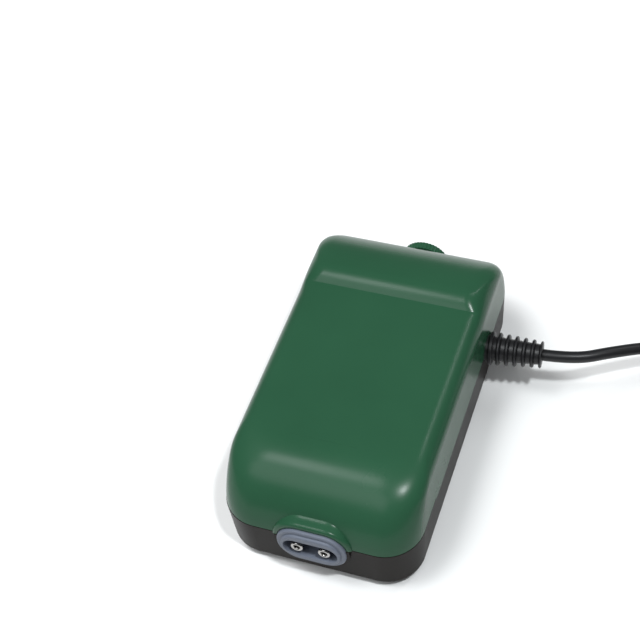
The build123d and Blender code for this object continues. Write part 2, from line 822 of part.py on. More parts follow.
cord_route = [
    along_boot(boot_length),
    along_boot(boot_length + 13.4),
    (89.0, 44.0, 21.4),
    (104.0, 54.5, 17.0),
    (119.0, 63.5, 10.0),
    (133.0, 70.0, 4.4),
    (147.0, 74.3, 2.6),
]
coil_turn_radius = 29.5
coil_layers = 4
outer_turn = coil_turn_radius + cord_diameter / 2
coil_entry = Vector(*cord_route[-1])
coil_heading = (coil_entry - Vector(*cord_route[-2])).normalized()
coil_x = coil_entry.X + outer_turn * coil_heading.Y
coil_y = coil_entry.Y - outer_turn * coil_heading.X
plug_z = 7.0
tail_start = (coil_x + outer_turn, coil_y, 17.6)
plug_x = tail_start[0] - 4.4
tail_end_y = coil_y - 50
tail_route = [
    tail_start,
    (tail_start[0], coil_y - 12.5, 17.2),
    (tail_start[0] - 2.4, coil_y - 25, 11.6),
    (plug_x, coil_y - 38, plug_z),
    (plug_x, tail_end_y, plug_z),
]


def corner_radii(points):
    """Radius of each corner of a cord's route: 0.45 of its shorter run over tan(half turn)."""
    radii = []
    for before, corner, after in zip(points, points[1:], points[2:]):
        run_in = Vector(*corner) - Vector(*before)
        run_out = Vector(*after) - Vector(*corner)
        turn = run_in.get_angle(run_out)
        radii.append(0.45 * min(run_in.length, run_out.length) / tan(radians(turn) / 2))
    return radii


def make_cord(points, name):
    """A cord's tube along straight runs joined by tangent arcs."""
    radii = corner_radii(points)
    with BuildPart() as tube:
        with BuildLine() as path:
            FilletPolyline(*points, radius=radii)
        with BuildSketch(Plane(origin=path.line @ 0, z_dir=path.line % 0)):
            Circle(cord_diameter / 2)
        sweep(path=path.line)
    length = path.wires()[0].length
    section = pi * cord_diameter**2 / 4
    print(name, "radii", [round(r, 1) for r in radii], "length", round(length, 1),
          "volume over section times length", round(tube.part.volume / (section * length), 4))
    return tube.part


def make_cord_coil():
    """Outer shape of the wound cord: a flat ring two turns wide and four layers high."""
    with BuildPart() as coil:
        with Locations((coil_x, coil_y, 0.1)):
            Cylinder(coil_turn_radius + cord_diameter, coil_layers * cord_diameter,
                     align=(Align.CENTER, Align.CENTER, Align.MIN))
            Cylinder(coil_turn_radius - cord_diameter, coil_layers * cord_diameter,
                     align=(Align.CENTER, Align.CENTER, Align.MIN), mode=Mode.SUBTRACT)
        fillet(coil.edges(), radius=1.8)
    return coil.part


def make_plug_body():
    """Flat two-pin plug with its own tapered boot, lying on the surface."""
    face_y = tail_end_y - 58
    with BuildPart() as plug:
        with BuildSketch(Plane.XY.offset(plug_z - 6.85)):
            with BuildLine():
                Polyline(
                    (plug_x - 17.6, face_y), (plug_x + 17.6, face_y), (plug_x + 17.6, face_y + 9),
                    (plug_x + 7, face_y + 35), (plug_x - 7, face_y + 35), (plug_x - 17.6, face_y + 9),
                    close=True)
            make_face()
            fillet(vertices(), radius=2.0)
        extrude(amount=13.7)
        fillet(plug.edges().filter_by(Plane.XY), radius=1.6)
        with BuildSketch(front_plane(face_y + 34)):
            with Locations((plug_x, plug_z)):
                Circle(5.0)
        with BuildSketch(front_plane(tail_end_y)):
            with Locations((plug_x, plug_z)):
                Circle(3.4)
        loft()
    return plug.part


def make_plug_pins():
    """The plug's two round pins."""
    face_y = tail_end_y - 58
    with BuildPart() as pins:
        with BuildSketch(front_plane(face_y)):
            with Locations((plug_x - 9.3, plug_z), (plug_x + 9.3, plug_z)):
                Circle(2.0)
        extrude(amount=19)
        fillet(pins.faces().group_by(Axis.Y)[0].edges(), radius=1.2)
    return pins.part


# --- build and write every piece ----------------------------------------------------------
pieces = {
    "cover": make_cover(),
    "base": make_base(),
    "outlet_bezel": make_bezel(),
    "control_knob": make_knob(),
    "knob_shaft": make_knob_shaft(),
    "potentiometer": make_potentiometer(),
    "control_board": make_board(),
    "board_parts": make_board_parts(),
    "rubber_feet": make_feet(),
    "housing_screws": make_screws(screw_places, base_bottom + 6, 2.9, 1.3, 36.0),
    "filter_felt": make_filter_felt(),
    "filter_cover": make_filter_cover(),
    "coil_bobbin": make_bobbin(),
    "coil_winding": make_winding(),
    "laminated_core": make_core(),
    "core_bracket": make_bracket(),
    "bracket_screws": make_screws([(0, core_y - 19), (0, core_y + 19)], 10.5, 2.8, 1.4, 6.5),
    "arm_pivot_pins": make_pivot_pins(),
    "lead_wires": make_lead_wires(),
    "strain_relief": make_strain_relief(),
    "power_cord": make_cord(cord_route, "power_cord"),
    "cord_coil": make_cord_coil(),
    "cord_tail": make_cord(tail_route, "cord_tail"),
    "plug_body": make_plug_body(),
    "plug_pins": make_plug_pins(),
}
for side, sign in sides:
    pieces["nozzle_" + side] = make_nozzle(sign)
    pieces["swing_arm_" + side] = make_arm(sign)
    pieces["arm_magnet_" + side] = make_arm_magnet(sign)
    pieces["diaphragm_" + side] = make_diaphragm(sign)
    pieces["diaphragm_ring_" + side] = make_diaphragm_ring(sign)
    pieces["diaphragm_stud_" + side] = make_stud(sign)
    pieces["valve_chamber_" + side] = make_chamber(sign)
    pieces["valve_flaps_" + side] = make_flaps(sign)
    pieces["valve_cap_" + side] = make_valve_cap(sign)
    pieces["air_tube_" + side] = make_air_tube(sign)

os.makedirs("parts", exist_ok=True)
for name, part in pieces.items():
    part.label = name
    export_step(part, "parts/" + name + ".step")
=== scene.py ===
"""Looks of a small aquarium air pump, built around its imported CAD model.

Sizes are in millimetres, as in the CAD script, and are turned into metres where a mesh is made.
Only the camera, the lights and the floor are placed in metres. The front with the two outlets
faces -Y, the mains cord leaves on +X, and the pump stands on Z=0.
"""

import json
from math import asin, atan2, cos, pi, radians, sin, sqrt

import bmesh
import bpy
from mathutils import Matrix, Vector


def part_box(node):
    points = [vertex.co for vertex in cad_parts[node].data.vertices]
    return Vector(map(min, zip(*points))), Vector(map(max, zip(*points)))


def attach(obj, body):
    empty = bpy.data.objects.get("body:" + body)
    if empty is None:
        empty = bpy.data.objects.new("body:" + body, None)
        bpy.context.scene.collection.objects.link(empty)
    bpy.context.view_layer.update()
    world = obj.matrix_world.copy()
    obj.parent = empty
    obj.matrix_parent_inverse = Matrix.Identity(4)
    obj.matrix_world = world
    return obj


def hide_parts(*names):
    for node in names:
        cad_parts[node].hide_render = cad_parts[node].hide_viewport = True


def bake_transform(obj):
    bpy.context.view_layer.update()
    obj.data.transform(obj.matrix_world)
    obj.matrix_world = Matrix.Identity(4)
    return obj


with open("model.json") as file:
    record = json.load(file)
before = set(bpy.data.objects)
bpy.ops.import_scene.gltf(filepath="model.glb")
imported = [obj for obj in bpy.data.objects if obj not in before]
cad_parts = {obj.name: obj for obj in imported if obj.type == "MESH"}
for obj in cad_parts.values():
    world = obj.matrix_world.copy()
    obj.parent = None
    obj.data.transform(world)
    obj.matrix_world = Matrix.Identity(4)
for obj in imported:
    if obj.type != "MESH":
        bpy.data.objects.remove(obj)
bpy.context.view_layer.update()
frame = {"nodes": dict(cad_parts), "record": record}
nodes = frame["nodes"]

MM = 0.001


def box_mm(node):
    """Lowest and highest corners of a CAD node, in millimetres."""
    low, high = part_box(node)
    return low / MM, high / MM


# --- case, with the CAD script's sizes ----------------------------------------------------
case_width = 80.0
case_length = 150.0
front_y = -case_length / 2
rear_y = case_length / 2
parting_z = 23.5                # line between cover and base at the front
side_parting_z = 22.4           # the same line along the sides and the rear
side_step_y = -44.0             # where the line steps from one height to the other
rim_gap = 0.25                  # from that line up to the cover's rim
wall_thickness = 2.2
cover_top = 47.3                # height of the flat top
head_top = 50.6                 # height of the raised head at the rear
cover_draft = 0.6               # each side wall leans in by this much
corner_radius = 15.5            # case corners seen from above
corner_tightening = 0.3         # the front corners' radius loses this share of the sides' setback
top_edge_radius = 8.0           # rounding from the sides to the flat top
shoulder_radius = 28.0          # large rounding from the front to the flat top
head_edge_radius = 10.0         # rounding from the sides to the head
head_roll_radius = 42.0         # large rounding from the head to the rear
head_front_radius = 6.0         # rounding of the head's front, which places the crease
head_corner_radius = 6.0        # upwards the head's rear corners tighten to this
head_corner_z = 41.0            # and reach it at this height
crease_rise_length = 8.5        # length over which the outline rises behind the crease
slope_start = 6.0               # down the sides the rise starts this far in front of the crease
slope_length = 16.0             # and is this long
crisp_turn = radians(35)        # up to this turn of the edge rounding the rise is a gentle slope,
crisp_span = radians(45)        # and over this much more of it the crease becomes crisp

post_places = [(sign_x * 31.5, sign_y * 47.0) for sign_x in (-1, 1) for sign_y in (-1, 1)]
post_radius = 3.0
post_bore_radius = 1.35
post_top_z = 44.6

# --- outlets ------------------------------------------------------------------------------
bezel_low, bezel_high = box_mm("outlet_bezel")
bezel_width = bezel_high.x - bezel_low.x
bezel_height = bezel_high.z - bezel_low.z
bezel_z = (bezel_low.z + bezel_high.z) / 2
bezel_corner = 9.0
bezel_clearance = 0.1
brow_depth = 0.8                # the cover's arch stands this far out of its front
nozzle_spacing = 11.0
nozzle_tip_y = box_mm("nozzle_left")[0].y
nozzle_length = 15.0            # from the tip to the end inside the case
nozzle_radius = 2.1
nozzle_bore_radius = 1.2

# --- cord ---------------------------------------------------------------------------------
cord_diameter = 5.0
cord_exit_y = 33.0
boot_start_x = 40.75
boot_length = 22.0
boot_tilt = radians(5.0)
boot_start = Vector((boot_start_x, cord_exit_y, side_parting_z))
boot_direction = Vector((cos(boot_tilt), sin(boot_tilt), 0.0))


# --- meshes -------------------------------------------------------------------------------
def add_piece(name, data, material, body="case"):
    """A new object that shows this mesh or curve, takes this material and rides on a body."""
    piece = bpy.data.objects.new(name, data)
    bpy.context.scene.collection.objects.link(piece)
    data.materials.append(material)
    if body:
        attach(piece, body)
    return piece


def finish_mesh(mesh, sharp_angle=30.0):
    """Merges coinciding points, turns the faces outwards and shades them smooth between edges."""
    work = bmesh.new()
    work.from_mesh(mesh)
    bmesh.ops.remove_doubles(work, verts=work.verts, dist=1e-6)
    bmesh.ops.recalc_face_normals(work, faces=work.faces)
    work.to_mesh(mesh)
    work.free()
    mesh.shade_smooth()
    mesh.set_sharp_from_angle(angle=radians(sharp_angle))


def mesh_from_points(name, points, faces, sharp_angle=30.0):
    """A mesh from points in millimetres, shaded smooth except along its sharp edges."""
    mesh = bpy.data.meshes.new(name)
    mesh.from_pydata([Vector(p) * MM for p in points], [], faces)
    finish_mesh(mesh, sharp_angle)
    return mesh


def ring_faces(ring_count, ring_length):
    """Quads between closed rings of points that follow each other."""
    faces = []
    for ring in range(ring_count - 1):
        for step in range(ring_length):
            here = ring * ring_length + step
            beside = ring * ring_length + (step + 1) % ring_length
            faces.append((here, beside, beside + ring_length, here + ring_length))
    return faces


def turned_mesh(name, profile, steps=48, sharp_angle=30.0):
    """A turned form: (distance along the Z axis, radius) points carried round it."""
    points = []
    for along, radius in profile:
        for step in range(steps):
            angle = 2 * pi * step / steps
            points.append((radius * cos(angle), radius * sin(angle), along))
    return mesh_from_points(name, points, ring_faces(len(profile), steps), sharp_angle)


def with_modifier(mesh, kind, **settings):
    """The mesh after one modifier with these settings."""
    scratch = bpy.data.objects.new("scratch", mesh)
    bpy.context.scene.collection.objects.link(scratch)
    modifier = scratch.modifiers.new("change", kind)
    for setting, value in settings.items():
        setattr(modifier, setting, value)
    graph = bpy.context.evaluated_depsgraph_get()
    result = bpy.data.meshes.new_from_object(scratch.evaluated_get(graph))
    bpy.data.objects.remove(scratch)
    return result


def cut_mesh(mesh, cutter):
    """The mesh with the space of a second mesh taken out of it."""
    tool = bpy.data.objects.new("cut_tool", cutter)
    bpy.context.scene.collection.objects.link(tool)
    result = with_modifier(mesh, "BOOLEAN", operation="DIFFERENCE", solver="EXACT", object=tool)
    bpy.data.objects.remove(tool)
    return result


def spaced(start, end, steps):
    """Evenly spaced values from start to end, both included."""
    return [start + (end - start) * step / steps for step in range(steps + 1)]


def ease(share):
    """Smooth step from 0 to 1."""
    share = min(1.0, max(0.0, share))
    return share * share * (3 - 2 * share)


# --- cover --------------------------------------------------------------------------------
def rounding(z, top, radius):
    """Setback at height z of a quarter round of this radius that ends level at top."""
    rise = max(0.0, z - (top - radius))
    return radius - sqrt(max(0.0, radius**2 - rise**2))


head_crown_y = rear_y - head_roll_radius + rounding(side_parting_z, head_top, head_roll_radius)
crease_y = head_crown_y - head_front_radius + rounding(cover_top, head_top, head_front_radius)
flat_shape = (cover_top, top_edge_radius)       # (top, edge rounding) of the flat part
head_shape = (head_top, head_edge_radius)       # and of the head


def half_width(z, top, edge):
    """Half width of the cover at height z, for a part with this top and edge rounding."""
    share = min(1.0, (z - side_parting_z) / (cover_top - top_edge_radius - side_parting_z))
    return case_width / 2 - cover_draft * share - rounding(z, top, edge)


def level_height(level, y, top, edge):
    """Height of a level at y, for a part of the cover with this top and edge rounding."""
    share, turn = level
    bottom = (parting_z if y < side_step_y else side_parting_z) + rim_gap
    return bottom + (top - edge - bottom) * share + edge * sin(turn)


def head_share(y, turn):
    """How far the outline has risen from the flat top (0) to the head (1) at this place.

    On top the step starts at a crisp crease. Down the rounded edge it fades into a gentle slope.
    """
    ahead = 1.0 - min(1.0, max(0.0, (y - crease_y) / crease_rise_length))
    crisp = 1.0 - ahead * ahead
    gentle = ease((y - crease_y + slope_start) / slope_length)
    return gentle + (crisp - gentle) * ease((turn - crisp_turn) / crisp_span)


def cover_levels():
    """Each level as (share up the side wall, turn round the edge rounding)."""
    walls = [(share, 0.0) for share in spaced(0.0, 1.0, 14)[:-1]]
    edges = [(1.0, turn) for turn in spaced(0.0, radians(90), 30)]
    return walls + edges


def front_points(level):
    """Right half of one level's outline, from the middle of the front to the corner's end."""
    z = level_height(level, front_y, *flat_shape)
    y = front_y - rounding(side_parting_z, cover_top, shoulder_radius)
    y += rounding(z, cover_top, shoulder_radius)
    half = half_width(z, *flat_shape)
    radius = corner_radius - corner_tightening * (case_width / 2 - half)
    points = [(x, y, z) for x in spaced(0.0, half - radius, 10)[:-1]]
    for angle in spaced(radians(-90), 0.0, 12):
        points.append((half - radius + radius * cos(angle), y + radius + radius * sin(angle), z))
    return points


def side_places(y_start, y_end):
    """Places along the side, closer together at the step in the rim and at the crease.

    High up, the outline starts behind the step in the rim, so there y_step only follows the start.
    """
    beside_step = 0.1
    y_step = max(side_step_y, y_start + 1.0)
    places = spaced(y_start, y_step - beside_step, 4)[1:]
    places += spaced(y_step + beside_step, crease_y - 8.1, 16)
    places += spaced(crease_y - 7.0, crease_y, 7)
    places += spaced(crease_y, head_crown_y, 10)[1:]
    places += spaced(head_crown_y, y_end, 16)[1:-1]
    return places


def half_ring(level):
    """Right half of one level's outline, from the middle of the front to that of the rear."""
    share, turn = level
    points = front_points(level)
    z = level_height(level, rear_y, *head_shape)
    half = half_width(z, *head_shape)
    y_rear = rear_y + rounding(side_parting_z, head_top, head_roll_radius)
    y_rear -= rounding(z, head_top, head_roll_radius)
    tighten = min(1.0, (z - side_parting_z) / (head_corner_z - side_parting_z))
    radius = corner_radius + (head_corner_radius - corner_radius) * tighten
    room_behind_crown = max(0.0, y_rear - head_crown_y)
    smallest_radius = 0.01
    radius = min(radius, 0.8 * room_behind_crown + smallest_radius)

    outline = [(0.0, y) for y in side_places(points[-1][1], y_rear - radius)]
    for angle in spaced(0.0, radians(90), 12):
        outline.append((radius * (1 - cos(angle)), y_rear - radius + radius * sin(angle)))
    for inwards, y in outline:
        rise = head_share(y, turn)
        flat_z = level_height(level, y, *flat_shape)
        flat_half = half_width(flat_z, *flat_shape)
        x = flat_half + (half - flat_half) * rise - inwards
        points.append((x, y, flat_z + (z - flat_z) * rise))
    last_x, last_y, last_z = points[-1]
    points += [(x, last_y, last_z) for x in spaced(last_x, 0.0, 10)[1:]]
    return points


def cover_outside():
    """The cover's outer skin: stacked outlines, closed by rows across its top."""
    points = []
    for level in cover_levels():
        right = half_ring(level)
        left = [(-x, y, z) for x, y, z in right[-2:0:-1]]
        points += right + left
    ring_length = len(right) + len(left)
    ring_count = len(cover_levels())
    faces = ring_faces(ring_count, ring_length)
    first = (ring_count - 1) * ring_length
    last_row = len(right) - 2
    for step in range(last_row + 1):
        right_side = [first + step, first + step + 1]
        left_side = [first + (ring_length - step - 1) % ring_length,
                     first + (ring_length - step) % ring_length]
        if step == 0:
            left_side = left_side[:1]
        if step == last_row:
            left_side = left_side[1:]
        faces.append(right_side + left_side)
    return points, faces


def bezel_ring(grow, y):
    """Points round the bezel's oval outline, grown by an offset, in the plane at y."""
    radius = bezel_corner + grow
    flat_x = bezel_width / 2 - bezel_corner
    flat_z = bezel_height / 2 - bezel_corner
    ring = []
    for sign_x, sign_z, start in ((1, 1, 0), (-1, 1, 90), (-1, -1, 180), (1, -1, 270)):
        for angle in spaced(radians(start), radians(start + 90), 12):
            ring.append((sign_x * flat_x + radius * cos(angle), y,
                         bezel_z + sign_z * flat_z + radius * sin(angle)))
    return ring


def bezel_prism(grow, y_start, y_end):
    """Solid with the bezel's outline, used to cut its opening."""
    front = bezel_ring(grow, y_start)
    back = bezel_ring(grow, y_end)
    count = len(front)
    faces = ring_faces(2, count)
    faces.append(tuple(range(count)))
    faces.append(tuple(range(2 * count - 1, count - 1, -1)))
    return mesh_from_points("bezel_prism", front + back, faces)


def brow_mesh():
    """Rounded arch of the cover that stands proud over the outlets.

    Its section is a list of (distance out from the bezel, distance behind the arch's front).
    It is carried over the bezel from one foot to the other.
    """
    section = [(0.1, 5.8), (0.1, 0.35), (0.2, 0.1), (0.45, 0.0), (1.1, 0.0), (1.55, 0.12),
               (1.95, 0.4), (2.2, 0.85), (2.3, 1.5), (2.34, 2.5), (2.42, 3.4), (2.6, 4.2),
               (2.9, 4.9), (2.9, 5.8)]
    brow_front_y = front_y - brow_depth
    crown_lift = 0.3
    foot_z = parting_z + rim_gap
    flat_x = bezel_width / 2 - bezel_corner
    corner_z = bezel_z + bezel_height / 2 - bezel_corner
    arc_steps = 20
    points = []
    for sign, steps in ((1, range(arc_steps + 1)), (-1, range(arc_steps, -1, -1))):
        for step in steps:
            for grow, behind in section:
                radius = bezel_corner + grow
                centre_z = corner_z + crown_lift * ease(grow / 2)
                start = asin((foot_z - centre_z) / radius)
                angle = start + (pi / 2 - start) * step / arc_steps
                points.append((sign * (flat_x + radius * cos(angle)), brow_front_y + behind,
                               centre_z + radius * sin(angle)))
    section_length = len(section)
    section_count = len(points) // section_length
    faces = ring_faces(section_count, section_length)
    for end in (0, len(points) - section_length):
        faces.append(tuple(range(end, end + section_length)))
    return mesh_from_points("cover_brow", points, faces, sharp_angle=40.0)


def post_mesh():
    """The four hollow posts inside the cover that take the housing screws."""
    foot_z = side_parting_z + rim_gap
    profile = [(foot_z, post_bore_radius), (foot_z, post_radius), (post_top_z, post_radius),
               (post_top_z, post_bore_radius), (foot_z, post_bore_radius)]
    posts = bmesh.new()
    for x, y in post_places:
        post = turned_mesh("post", profile, steps=24)
        post.transform(Matrix.Translation(Vector((x, y, 0)) * MM))
        posts.from_mesh(post)
    mesh = bpy.data.meshes.new("cover_posts")
    posts.to_mesh(mesh)
    posts.free()
    finish_mesh(mesh)
    return mesh


def make_cover(material):
    """Moulded upper shell, open at the bezel, with the arch over the outlets and the posts."""
    points, faces = cover_outside()
    skin = mesh_from_points("cover_shell", points, faces)
    solid = with_modifier(skin, "SOLIDIFY", thickness=wall_thickness * MM, offset=-1.0)
    in_front_y = front_y - 6
    inside_y = front_y + 14
    shell = cut_mesh(solid, bezel_prism(bezel_clearance, in_front_y, inside_y))
    finish_mesh(shell)
    piece = add_piece("cover_shell", shell, material)
    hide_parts("cover")
    add_piece("cover_brow", brow_mesh(), material)
    add_piece("cover_posts", post_mesh(), material)


# --- nozzles and diaphragms ---------------------------------------------------------------
def make_nozzle(name, sign, material):
    """Turned outlet nozzle with a rolled lip, a neck and a bore."""
    lip_radius = 0.62
    lip_reach = 1.9
    profile = [(nozzle_length, nozzle_bore_radius), (1.4, nozzle_bore_radius)]
    for angle in spaced(radians(180), radians(-30), 12):
        profile.append((lip_radius - lip_radius * sin(angle), lip_reach + lip_radius * cos(angle)))
    profile += [(1.5, 2.25), (2.2, nozzle_radius), (3.2, nozzle_radius),
                (nozzle_length, nozzle_radius), (nozzle_length, nozzle_bore_radius)]
    mesh = turned_mesh(name, profile)
    tip = Vector((sign * nozzle_spacing / 2, nozzle_tip_y, bezel_z)) * MM
    mesh.transform(Matrix.Translation(tip) @ Matrix.Rotation(radians(-90), 4, "X"))
    piece = add_piece(name + "_turned", mesh, material)
    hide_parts(name)


def make_diaphragm(side, material):
    """Rubber diaphragm, held between its clamped rim and the stud on the swinging arm."""
    node = nodes["diaphragm_" + side]
    mesh = node.data.copy()
    mesh.materials.clear()
    piece = add_piece(node.name + "_rubber", mesh, material, body=None)
    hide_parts(node.name)
    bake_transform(piece)


# --- cord ---------------------------------------------------------------------------------
def along_boot(distance):
    """Point on the boot's axis, this far from where the boot starts."""
    return boot_start + boot_direction * distance


cord_route = [
    along_boot(boot_length),
    along_boot(boot_length + 13.4),
    Vector((89.0, 44.0, 21.4)),
    Vector((104.0, 54.5, 17.0)),
    Vector((119.0, 63.5, 10.0)),
    Vector((133.0, 70.0, 4.4)),
    Vector((147.0, 74.3, 2.6)),
]

# The coil starts where the route ends and turns the way the route points.
outer_turn = 32.0
coil_floor_z = 2.6
coil_heading = (cord_route[-1] - cord_route[-2]).normalized()
coil_x = cord_route[-1].x + outer_turn * coil_heading.y
coil_y = cord_route[-1].y - outer_turn * coil_heading.x
entry_angle = atan2(cord_route[-1].y - coil_y, cord_route[-1].x - coil_x)

# The tail leaves the top of the coil and comes down to the plug.
plug_low, plug_high = box_mm("plug_body")
plug_x = (plug_low.x + plug_high.x) / 2
plug_z = (plug_low.z + plug_high.z) / 2
cord_tail = [
    Vector((coil_x + outer_turn, coil_y - 12.5, 17.2)),
    Vector((coil_x + outer_turn - 2.4, coil_y - 25.0, 11.6)),
    Vector((plug_x, coil_y - 38.0, plug_z)),
    Vector((plug_x, plug_high.y, plug_z)),
]


def make_strain_relief(material):
    """Tapered boot: inner flange, neck through the case wall, outer collar and rounded ribs.

    Distances run along the boot from where it leaves the case, so the flange's are negative.
    """
    flange_start = -6.7
    bore_radius = 2.0
    neck_radius = 5.5
    collar_radius = 7.0
    profile = [(flange_start, bore_radius), (flange_start, 7.2), (-4.9, 7.2), (-4.9, neck_radius),
               (0.0, neck_radius), (0.0, 6.6), (0.35, collar_radius), (1.45, collar_radius),
               (1.8, 6.6), (1.8, 5.1)]
    first_rib = 3.3
    rib_pitch = 3.5
    rib_widths = (1.5, 1.5, 1.5, 1.5, 1.5, 1.2)
    rib_radius = 6.9
    rib_taper = 0.26
    rib_round = 0.45
    for number, width in enumerate(rib_widths):
        start = first_rib + rib_pitch * number
        end = start + width
        reach = rib_radius - rib_taper * number
        core = 5.2 - start / boot_length
        profile += [(start - 0.15, core), (start, core + 0.2), (start + 0.05, reach - rib_round),
                    (start + rib_round, reach), (end - rib_round, reach),
                    (end - 0.05, reach - rib_round), (end, core + 0.2),
                    (min(boot_length, end + 0.15), core)]
    profile += [(boot_length, 4.2), (boot_length, bore_radius), (flange_start, bore_radius)]
    mesh = turned_mesh("strain_relief_ribbed", profile, steps=64, sharp_angle=40.0)
    turn = boot_direction.to_track_quat("Z", "Y").to_matrix().to_4x4()
    mesh.transform(Matrix.Translation(boot_start * MM) @ turn)
    piece = add_piece("strain_relief_ribbed", mesh, material)
    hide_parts("strain_relief")
    return piece


def coil_points():
    """Points of the coil's turns, two turns wide and four layers high, wound clockwise.

    The cord steps sideways and upwards in turn. Each change starts 10 or 40 degrees short of a
    full turn after the last one, so that the changes don't stack up in one place.
    """
    whole_turns = 7
    step = radians(15)
    sideways = radians(84)
    upward = radians(55)
    travel_end = 2 * pi * whole_turns + entry_angle
    change_starts = [radians(282)]
    for lead in (10, 40, 10, 40, 10, 40):
        change_starts.append(change_starts[-1] + 2 * pi - radians(lead))
    points = []
    step_count = int(travel_end / step)
    for number in range(1, step_count + 1):
        travel = travel_end * number / step_count
        radius = outer_turn
        z = coil_floor_z
        for order, start in enumerate(change_starts):
            if order % 2:
                z += cord_diameter * ease((travel - start) / upward)
            else:
                inwards = -1 if order % 4 == 0 else 1
                radius += inwards * cord_diameter * ease((travel - start) / sideways)
        angle = entry_angle - travel
        reach = radius / cos(step / 2)
        points.append(Vector((coil_x + reach * cos(angle), coil_y + reach * sin(angle), z)))
    return points


def make_cord(material, boot):
    """Mains cord: one spline along its route, the put-away coil and the tail to the plug."""
    curve = bpy.data.curves.new("mains_cord", "CURVE")
    curve.dimensions = "3D"
    curve.bevel_depth = cord_diameter / 2 * MM
    curve.bevel_resolution = 5
    curve.resolution_u = 8
    curve.use_fill_caps = True
    route = cord_route + coil_points() + cord_tail
    spline = curve.splines.new("NURBS")
    spline.points.add(len(route) - 1)
    for control, point in zip(spline.points, route):
        control.co = (*(point * MM), 1.0)
    spline.order_u = 3
    spline.use_endpoint_u = True
    cord = add_piece("mains_cord", curve, material)
    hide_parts("power_cord", "cord_coil", "cord_tail")


# --- materials ----------------------------------------------------------------------------
texture_range = (0.3, 0.7)      # texture values between which colour and roughness change
slow_change_scale = 22.0        # cells per metre of the slow changes of tone and gloss
wave_period = 0.314             # metres between a wave texture's bands at scale 1


def new_material(name, colour, roughness, metallic=0.0):
    """A material with these basic values, its nodes and its main shader."""
    material = bpy.data.materials.new(name)
    material.use_nodes = True
    tree = material.node_tree
    shader = tree.nodes["Principled BSDF"]
    shader.inputs["Base Color"].default_value = (*colour, 1.0)
    shader.inputs["Roughness"].default_value = roughness
    shader.inputs["Metallic"].default_value = metallic
    return material, tree, shader


def object_noise(tree, scale, detail):
    """Noise in the object's own space, in cells per metre."""
    place = tree.nodes.new("ShaderNodeTexCoord")
    noise = tree.nodes.new("ShaderNodeTexNoise")
    noise.inputs["Scale"].default_value = scale
    noise.inputs["Detail"].default_value = detail
    tree.links.new(place.outputs["Object"], noise.inputs["Vector"])
    return noise.outputs["Fac"]


def vary_colour(tree, shader, source, low, high):
    """Base colour that wanders between two close tones."""
    ramp = tree.nodes.new("ShaderNodeValToRGB")
    for stop, position, colour in zip(ramp.color_ramp.elements, texture_range, (low, high)):
        stop.position = position
        stop.color = (*colour, 1.0)
    tree.links.new(source, ramp.inputs["Fac"])
    tree.links.new(ramp.outputs["Color"], shader.inputs["Base Color"])


def vary_roughness(tree, shader, source, low, high):
    """Roughness that wanders between two values."""
    spread = tree.nodes.new("ShaderNodeMapRange")
    spread.inputs["From Min"].default_value = texture_range[0]
    spread.inputs["From Max"].default_value = texture_range[1]
    spread.inputs["To Min"].default_value = low
    spread.inputs["To Max"].default_value = high
    tree.links.new(source, spread.inputs["Value"])
    tree.links.new(spread.outputs["Result"], shader.inputs["Roughness"])


def add_bump(tree, shader, source, height):
    """Fine relief of this height in millimetres."""
    bump = tree.nodes.new("ShaderNodeBump")
    bump.inputs["Strength"].default_value = 1.0
    bump.inputs["Distance"].default_value = height * MM
    tree.links.new(source, bump.inputs["Height"])
    tree.links.new(bump.outputs["Normal"], shader.inputs["Normal"])


def tone(colour, factor):
    """The colour made lighter or darker."""
    return tuple(min(1.0, channel * factor) for channel in colour)


def moulded_material(name, colour, roughness, grain=1400.0, height=0.02, spread=0.10, metallic=0.0,
                     specular=0.5):
    """Moulded plastic, rubber or metal with fine grain and slow changes of tone and gloss.

    grain is in cells per metre, height is the grain's depth in millimetres, and spread is the
    share by which the tone changes.
    """
    material, tree, shader = new_material(name, colour, roughness, metallic)
    shader.inputs["Specular IOR Level"].default_value = specular
    slow = object_noise(tree, slow_change_scale, 4.0)
    fine = object_noise(tree, grain, 3.0)
    vary_colour(tree, shader, slow, tone(colour, 1 - spread), tone(colour, 1 + spread))
    vary_roughness(tree, shader, slow, roughness * 0.9, min(1.0, roughness * 1.12))
    add_bump(tree, shader, fine, height)
    return material


def banded_material(name, colour, dark, pitch, axis, roughness, metallic, height=0.08):
    """Wound wire or stacked sheets: fine bands, this many millimetres apart, across one axis."""
    material, tree, shader = new_material(name, colour, roughness, metallic)
    place = tree.nodes.new("ShaderNodeTexCoord")
    wave = tree.nodes.new("ShaderNodeTexWave")
    wave.wave_type = "BANDS"
    wave.bands_direction = axis
    wave.inputs["Scale"].default_value = wave_period / (pitch * MM)
    wave.inputs["Distortion"].default_value = 0.4
    wave.inputs["Detail"].default_value = 1.0
    tree.links.new(place.outputs["Object"], wave.inputs["Vector"])
    vary_colour(tree, shader, wave.outputs["Fac"], dark, colour)
    add_bump(tree, shader, wave.outputs["Fac"], height)
    return material


green = (0.0165, 0.063, 0.0325)
cord_black = (0.010, 0.010, 0.011)

